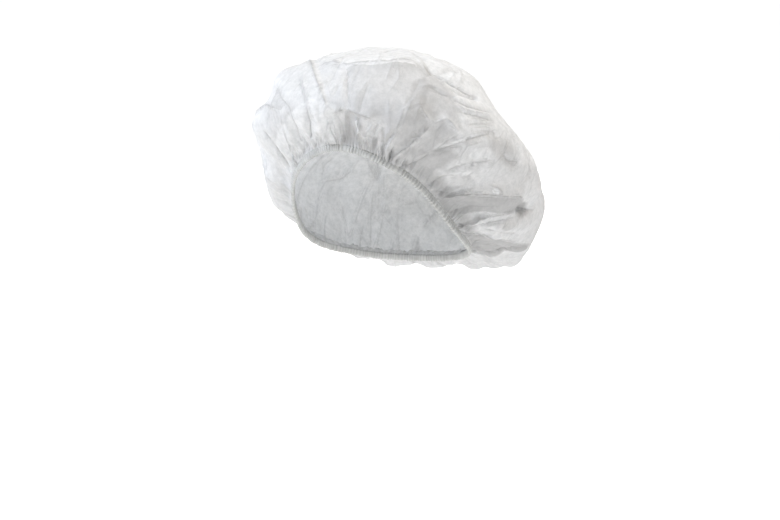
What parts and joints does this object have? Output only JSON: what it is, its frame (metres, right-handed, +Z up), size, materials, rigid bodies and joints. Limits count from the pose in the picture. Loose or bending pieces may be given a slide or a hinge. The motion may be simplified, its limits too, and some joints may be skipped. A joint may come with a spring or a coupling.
{
  "type": "disposable beret cap",
  "caption": "Soft round bouffant cap of thin nonwoven, gathered onto an elastic rim and kept in its worn form.",
  "frame": {"origin": "centre of the rim opening, where the head sits", "axes": "-Y is the front (forehead), +Y the back with the bag, +X the wearer's left, +Z up to the crown; the head goes in from below, along +Z"},
  "size_m": [0.254, 0.3023, 0.2011],
  "materials": {
    "nonwoven": "thin matt spunbond polypropylene, slightly see-through",
    "hem_nonwoven": "folded and gathered spunbond polypropylene",
    "elastic_knit": "matt knitted elastic tape"
  },
  "bodies": {
    "root": {"crown": "nonwoven", "hem_band": "hem_nonwoven", "elastic": "elastic_knit"}
  },
  "joints": []
}
